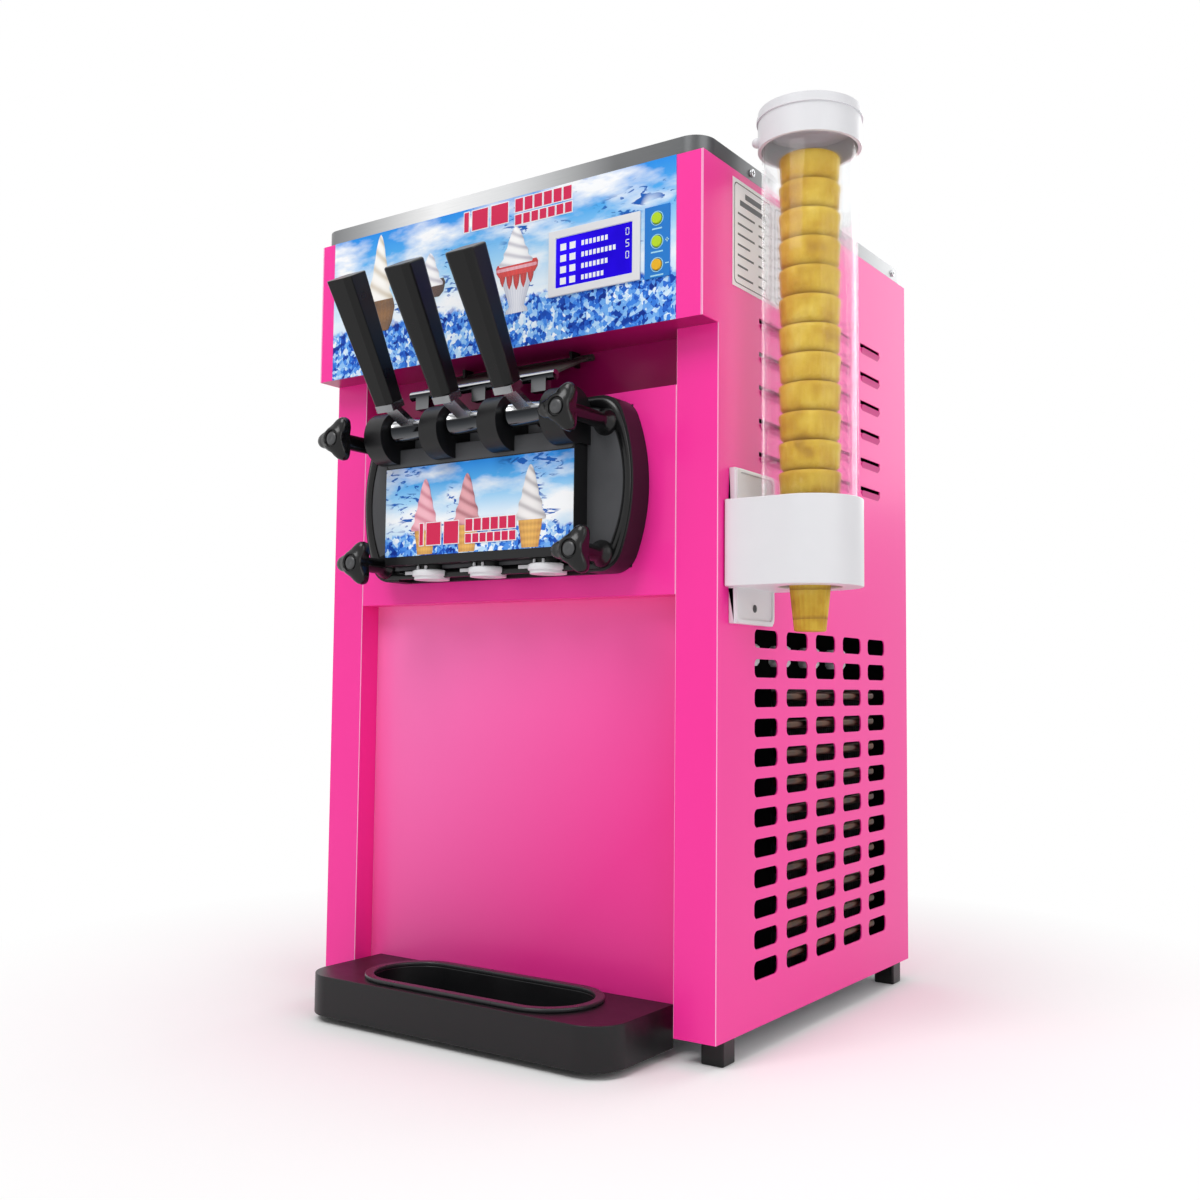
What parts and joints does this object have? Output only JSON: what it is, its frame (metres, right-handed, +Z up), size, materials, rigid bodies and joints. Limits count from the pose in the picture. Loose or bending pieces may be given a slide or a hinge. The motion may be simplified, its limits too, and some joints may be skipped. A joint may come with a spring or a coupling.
{
  "type": "soft serve machine",
  "caption": "Table-top soft serve ice cream machine: pink steel cabinet, levers on a black dispensing head, control panel, drip tray, top hoppers and a side cone dispenser.",
  "frame": {"origin": "centre of the four feet, on the table", "axes": "+Z up, the front with the levers faces -Y, +X to the right of a person facing the front"},
  "size_m": [0.5185, 0.5441, 0.7505],
  "materials": {
    "pink": "gloss powder coat",
    "stainless": "brushed",
    "chrome": "polished",
    "galvanised": "plain zinc",
    "black_plastic": "satin moulded",
    "knob_plastic": "gloss moulded",
    "white_plastic": "moulded",
    "clear_plastic": "clear tube",
    "rubber": "moulded",
    "graphic": "printed film",
    "lcd": "lit screen",
    "blue_plate": "overlay",
    "button_yellow": "button",
    "cast": "painted",
    "fins": "fins",
    "foam": "foam",
    "wafer": "wafer"
  },
  "bodies": {
    "cabinet": {"back_panel": "pink", "base_pan": "galvanised", "button_plate": "blue_plate", "compressor": "cast", "condenser": "fins", "cone_holder": "white_plastic", "cone_stack": "wafer", "cone_tube": "clear_plastic", "display_bezel": "white_plastic", "drive_motor": "cast", "fasteners": "stainless", "feet": "rubber", "freezing_cylinders": "stainless", "head_panel": "pink", "header_graphic": "graphic", "header_shell": "pink", "hoppers": "stainless", "inner_frame": "galvanised", "insulation": "foam", "lcd_screen": "lcd", "lower_front_panel": "pink", "power_inlet": "black_plastic", "side_panel_left": "pink", "side_panel_right": "pink", "top_cap": "stainless"},
    "panel_button_upper": {"button_upper": "button_yellow"},
    "panel_button_middle": {"button_middle": "button_yellow"},
    "panel_button_lower": {"button_lower": "button_yellow"},
    "tray": {"drip_tray": "black_plastic", "drip_ring": "black_plastic"},
    "head": {"dispensing_head": "black_plastic", "pivot_shaft": "chrome", "head_graphic": "graphic"},
    "lever_left": {"lever_left": "chrome", "grip_left": "black_plastic"},
    "plunger_left": {"plunger_left": "white_plastic"},
    "nozzle_cap_left": {"nozzle_cap_left": "white_plastic"},
    "lever_centre": {"lever_centre": "chrome", "grip_centre": "black_plastic"},
    "plunger_centre": {"plunger_centre": "white_plastic"},
    "nozzle_cap_centre": {"nozzle_cap_centre": "white_plastic"},
    "lever_right": {"lever_right": "chrome", "grip_right": "black_plastic"},
    "plunger_right": {"plunger_right": "white_plastic"},
    "nozzle_cap_right": {"nozzle_cap_right": "white_plastic"},
    "knob_upper_left": {"knob_upper_left": "knob_plastic"},
    "knob_upper_right": {"knob_upper_right": "knob_plastic"},
    "knob_lower_left": {"knob_lower_left": "knob_plastic"},
    "knob_lower_right": {"knob_lower_right": "knob_plastic"},
    "switch_flap": {"switch_flap": "black_plastic", "switch_bar": "stainless"},
    "beater_left": {"beater_left": "stainless"},
    "beater_right": {"beater_right": "stainless"},
    "fan": {"fan": "black_plastic"},
    "hopper_lid_left": {"hopper_lid_left": "stainless"},
    "air_tube_left": {"air_tube_left": "white_plastic"},
    "hopper_lid_right": {"hopper_lid_right": "stainless"},
    "air_tube_right": {"air_tube_right": "white_plastic"},
    "cone_cap": {"cone_cap": "white_plastic"},
    "bottom_cone": {"bottom_cone": "wafer"}
  },
  "joints": [
    {"name": "button_upper_press", "type": "slide", "parent": "cabinet", "child": "panel_button_upper", "axis": [0, 1, 0], "range_m": [0, 0.0012], "stiffness_N_per_m": 400},
    {"name": "button_middle_press", "type": "slide", "parent": "cabinet", "child": "panel_button_middle", "axis": [0, 1, 0], "range_m": [0, 0.0012], "stiffness_N_per_m": 400},
    {"name": "button_lower_press", "type": "slide", "parent": "cabinet", "child": "panel_button_lower", "axis": [0, 1, 0], "range_m": [0, 0.0012], "stiffness_N_per_m": 400},
    {"name": "tray_pull_out", "type": "slide", "parent": "cabinet", "child": "tray", "axis": [0, -1, 0], "range_m": [0, 0.15]},
    {"name": "head_pull_off", "type": "slide", "parent": "cabinet", "child": "head", "axis": [0, -1, 0], "range_m": [0, 0.12]},
    {"name": "lever_left_pull", "type": "hinge", "parent": "head", "child": "lever_left", "pos_m": [-0.064, -0.2465, 0.512], "axis": [1, 0, 0], "range_deg": [0, 36]},
    {"name": "plunger_left_lift", "type": "slide", "parent": "head", "child": "plunger_left", "axis": [0, 0, 1], "range_m": [0, 0.01759]},
    {"name": "nozzle_cap_left_twist", "type": "hinge", "parent": "head", "child": "nozzle_cap_left", "pos_m": [-0.064, -0.2202, 0.395], "axis": [0, 0, 1], "range_deg": [0, 60]},
    {"name": "lever_centre_pull", "type": "hinge", "parent": "head", "child": "lever_centre", "pos_m": [0, -0.2465, 0.512], "axis": [1, 0, 0], "range_deg": [0, 36]},
    {"name": "plunger_centre_lift", "type": "slide", "parent": "head", "child": "plunger_centre", "axis": [0, 0, 1], "range_m": [0, 0.01759]},
    {"name": "nozzle_cap_centre_twist", "type": "hinge", "parent": "head", "child": "nozzle_cap_centre", "pos_m": [0, -0.2202, 0.395], "axis": [0, 0, 1], "range_deg": [0, 60]},
    {"name": "lever_right_pull", "type": "hinge", "parent": "head", "child": "lever_right", "pos_m": [0.064, -0.2465, 0.512], "axis": [1, 0, 0], "range_deg": [0, 36]},
    {"name": "plunger_right_lift", "type": "slide", "parent": "head", "child": "plunger_right", "axis": [0, 0, 1], "range_m": [0, 0.01759]},
    {"name": "nozzle_cap_right_twist", "type": "hinge", "parent": "head", "child": "nozzle_cap_right", "pos_m": [0.064, -0.2202, 0.395], "axis": [0, 0, 1], "range_deg": [0, 60]},
    {"name": "knob_upper_left_turn", "type": "hinge", "parent": "head", "child": "knob_upper_left", "pos_m": [-0.121, -0.2208, 0.503], "axis": [0, -1, 0], "continuous": true},
    {"name": "knob_upper_right_turn", "type": "hinge", "parent": "head", "child": "knob_upper_right", "pos_m": [0.121, -0.2208, 0.503], "axis": [0, -1, 0], "continuous": true},
    {"name": "knob_lower_left_turn", "type": "hinge", "parent": "head", "child": "knob_lower_left", "pos_m": [-0.118, -0.2208, 0.3965], "axis": [0, -1, 0], "continuous": true},
    {"name": "knob_lower_right_turn", "type": "hinge", "parent": "head", "child": "knob_lower_right", "pos_m": [0.118, -0.2208, 0.3965], "axis": [0, -1, 0], "continuous": true},
    {"name": "switch_flap_tilt", "type": "hinge", "parent": "cabinet", "child": "switch_flap", "pos_m": [0, -0.1808, 0.5705], "axis": [-1, 0, 0], "range_deg": [0, 8], "stiffness_Nm_per_rad": 1},
    {"name": "beater_left_spin", "type": "hinge", "parent": "cabinet", "child": "beater_left", "pos_m": [-0.064, 0, 0.452], "axis": [0, 1, 0], "continuous": true},
    {"name": "beater_right_spin", "type": "hinge", "parent": "cabinet", "child": "beater_right", "pos_m": [0.064, 0, 0.452], "axis": [0, 1, 0], "continuous": true},
    {"name": "fan_spin", "type": "hinge", "parent": "cabinet", "child": "fan", "pos_m": [0.1448, 0.02, 0.1565], "axis": [1, 0, 0], "continuous": true},
    {"name": "hopper_lid_left_lift", "type": "slide", "parent": "cabinet", "child": "hopper_lid_left", "axis": [0, 0, 1], "range_m": [0, 0.12]},
    {"name": "air_tube_left_lift", "type": "slide", "parent": "cabinet", "child": "air_tube_left", "axis": [0, 0, 1], "range_m": [0, 0.055]},
    {"name": "hopper_lid_right_lift", "type": "slide", "parent": "cabinet", "child": "hopper_lid_right", "axis": [0, 0, 1], "range_m": [0, 0.12]},
    {"name": "air_tube_right_lift", "type": "slide", "parent": "cabinet", "child": "air_tube_right", "axis": [0, 0, 1], "range_m": [0, 0.055]},
    {"name": "cone_cap_lift", "type": "slide", "parent": "cabinet", "child": "cone_cap", "axis": [0, 0, 1], "range_m": [0, 0.06]},
    {"name": "cone_draw_down", "type": "slide", "parent": "cabinet", "child": "bottom_cone", "axis": [0, 0, -1], "range_m": [0, 0.1]}
  ],
  "couplings": [
    {"joint": "plunger_left_lift", "follows": "lever_left_pull", "m_per_rad": 0.027201},
    {"joint": "plunger_centre_lift", "follows": "lever_centre_pull", "m_per_rad": 0.027201},
    {"joint": "plunger_right_lift", "follows": "lever_right_pull", "m_per_rad": 0.027201},
    {"joint": "beater_right_spin", "follows": "beater_left_spin", "ratio": 1}
  ]
}
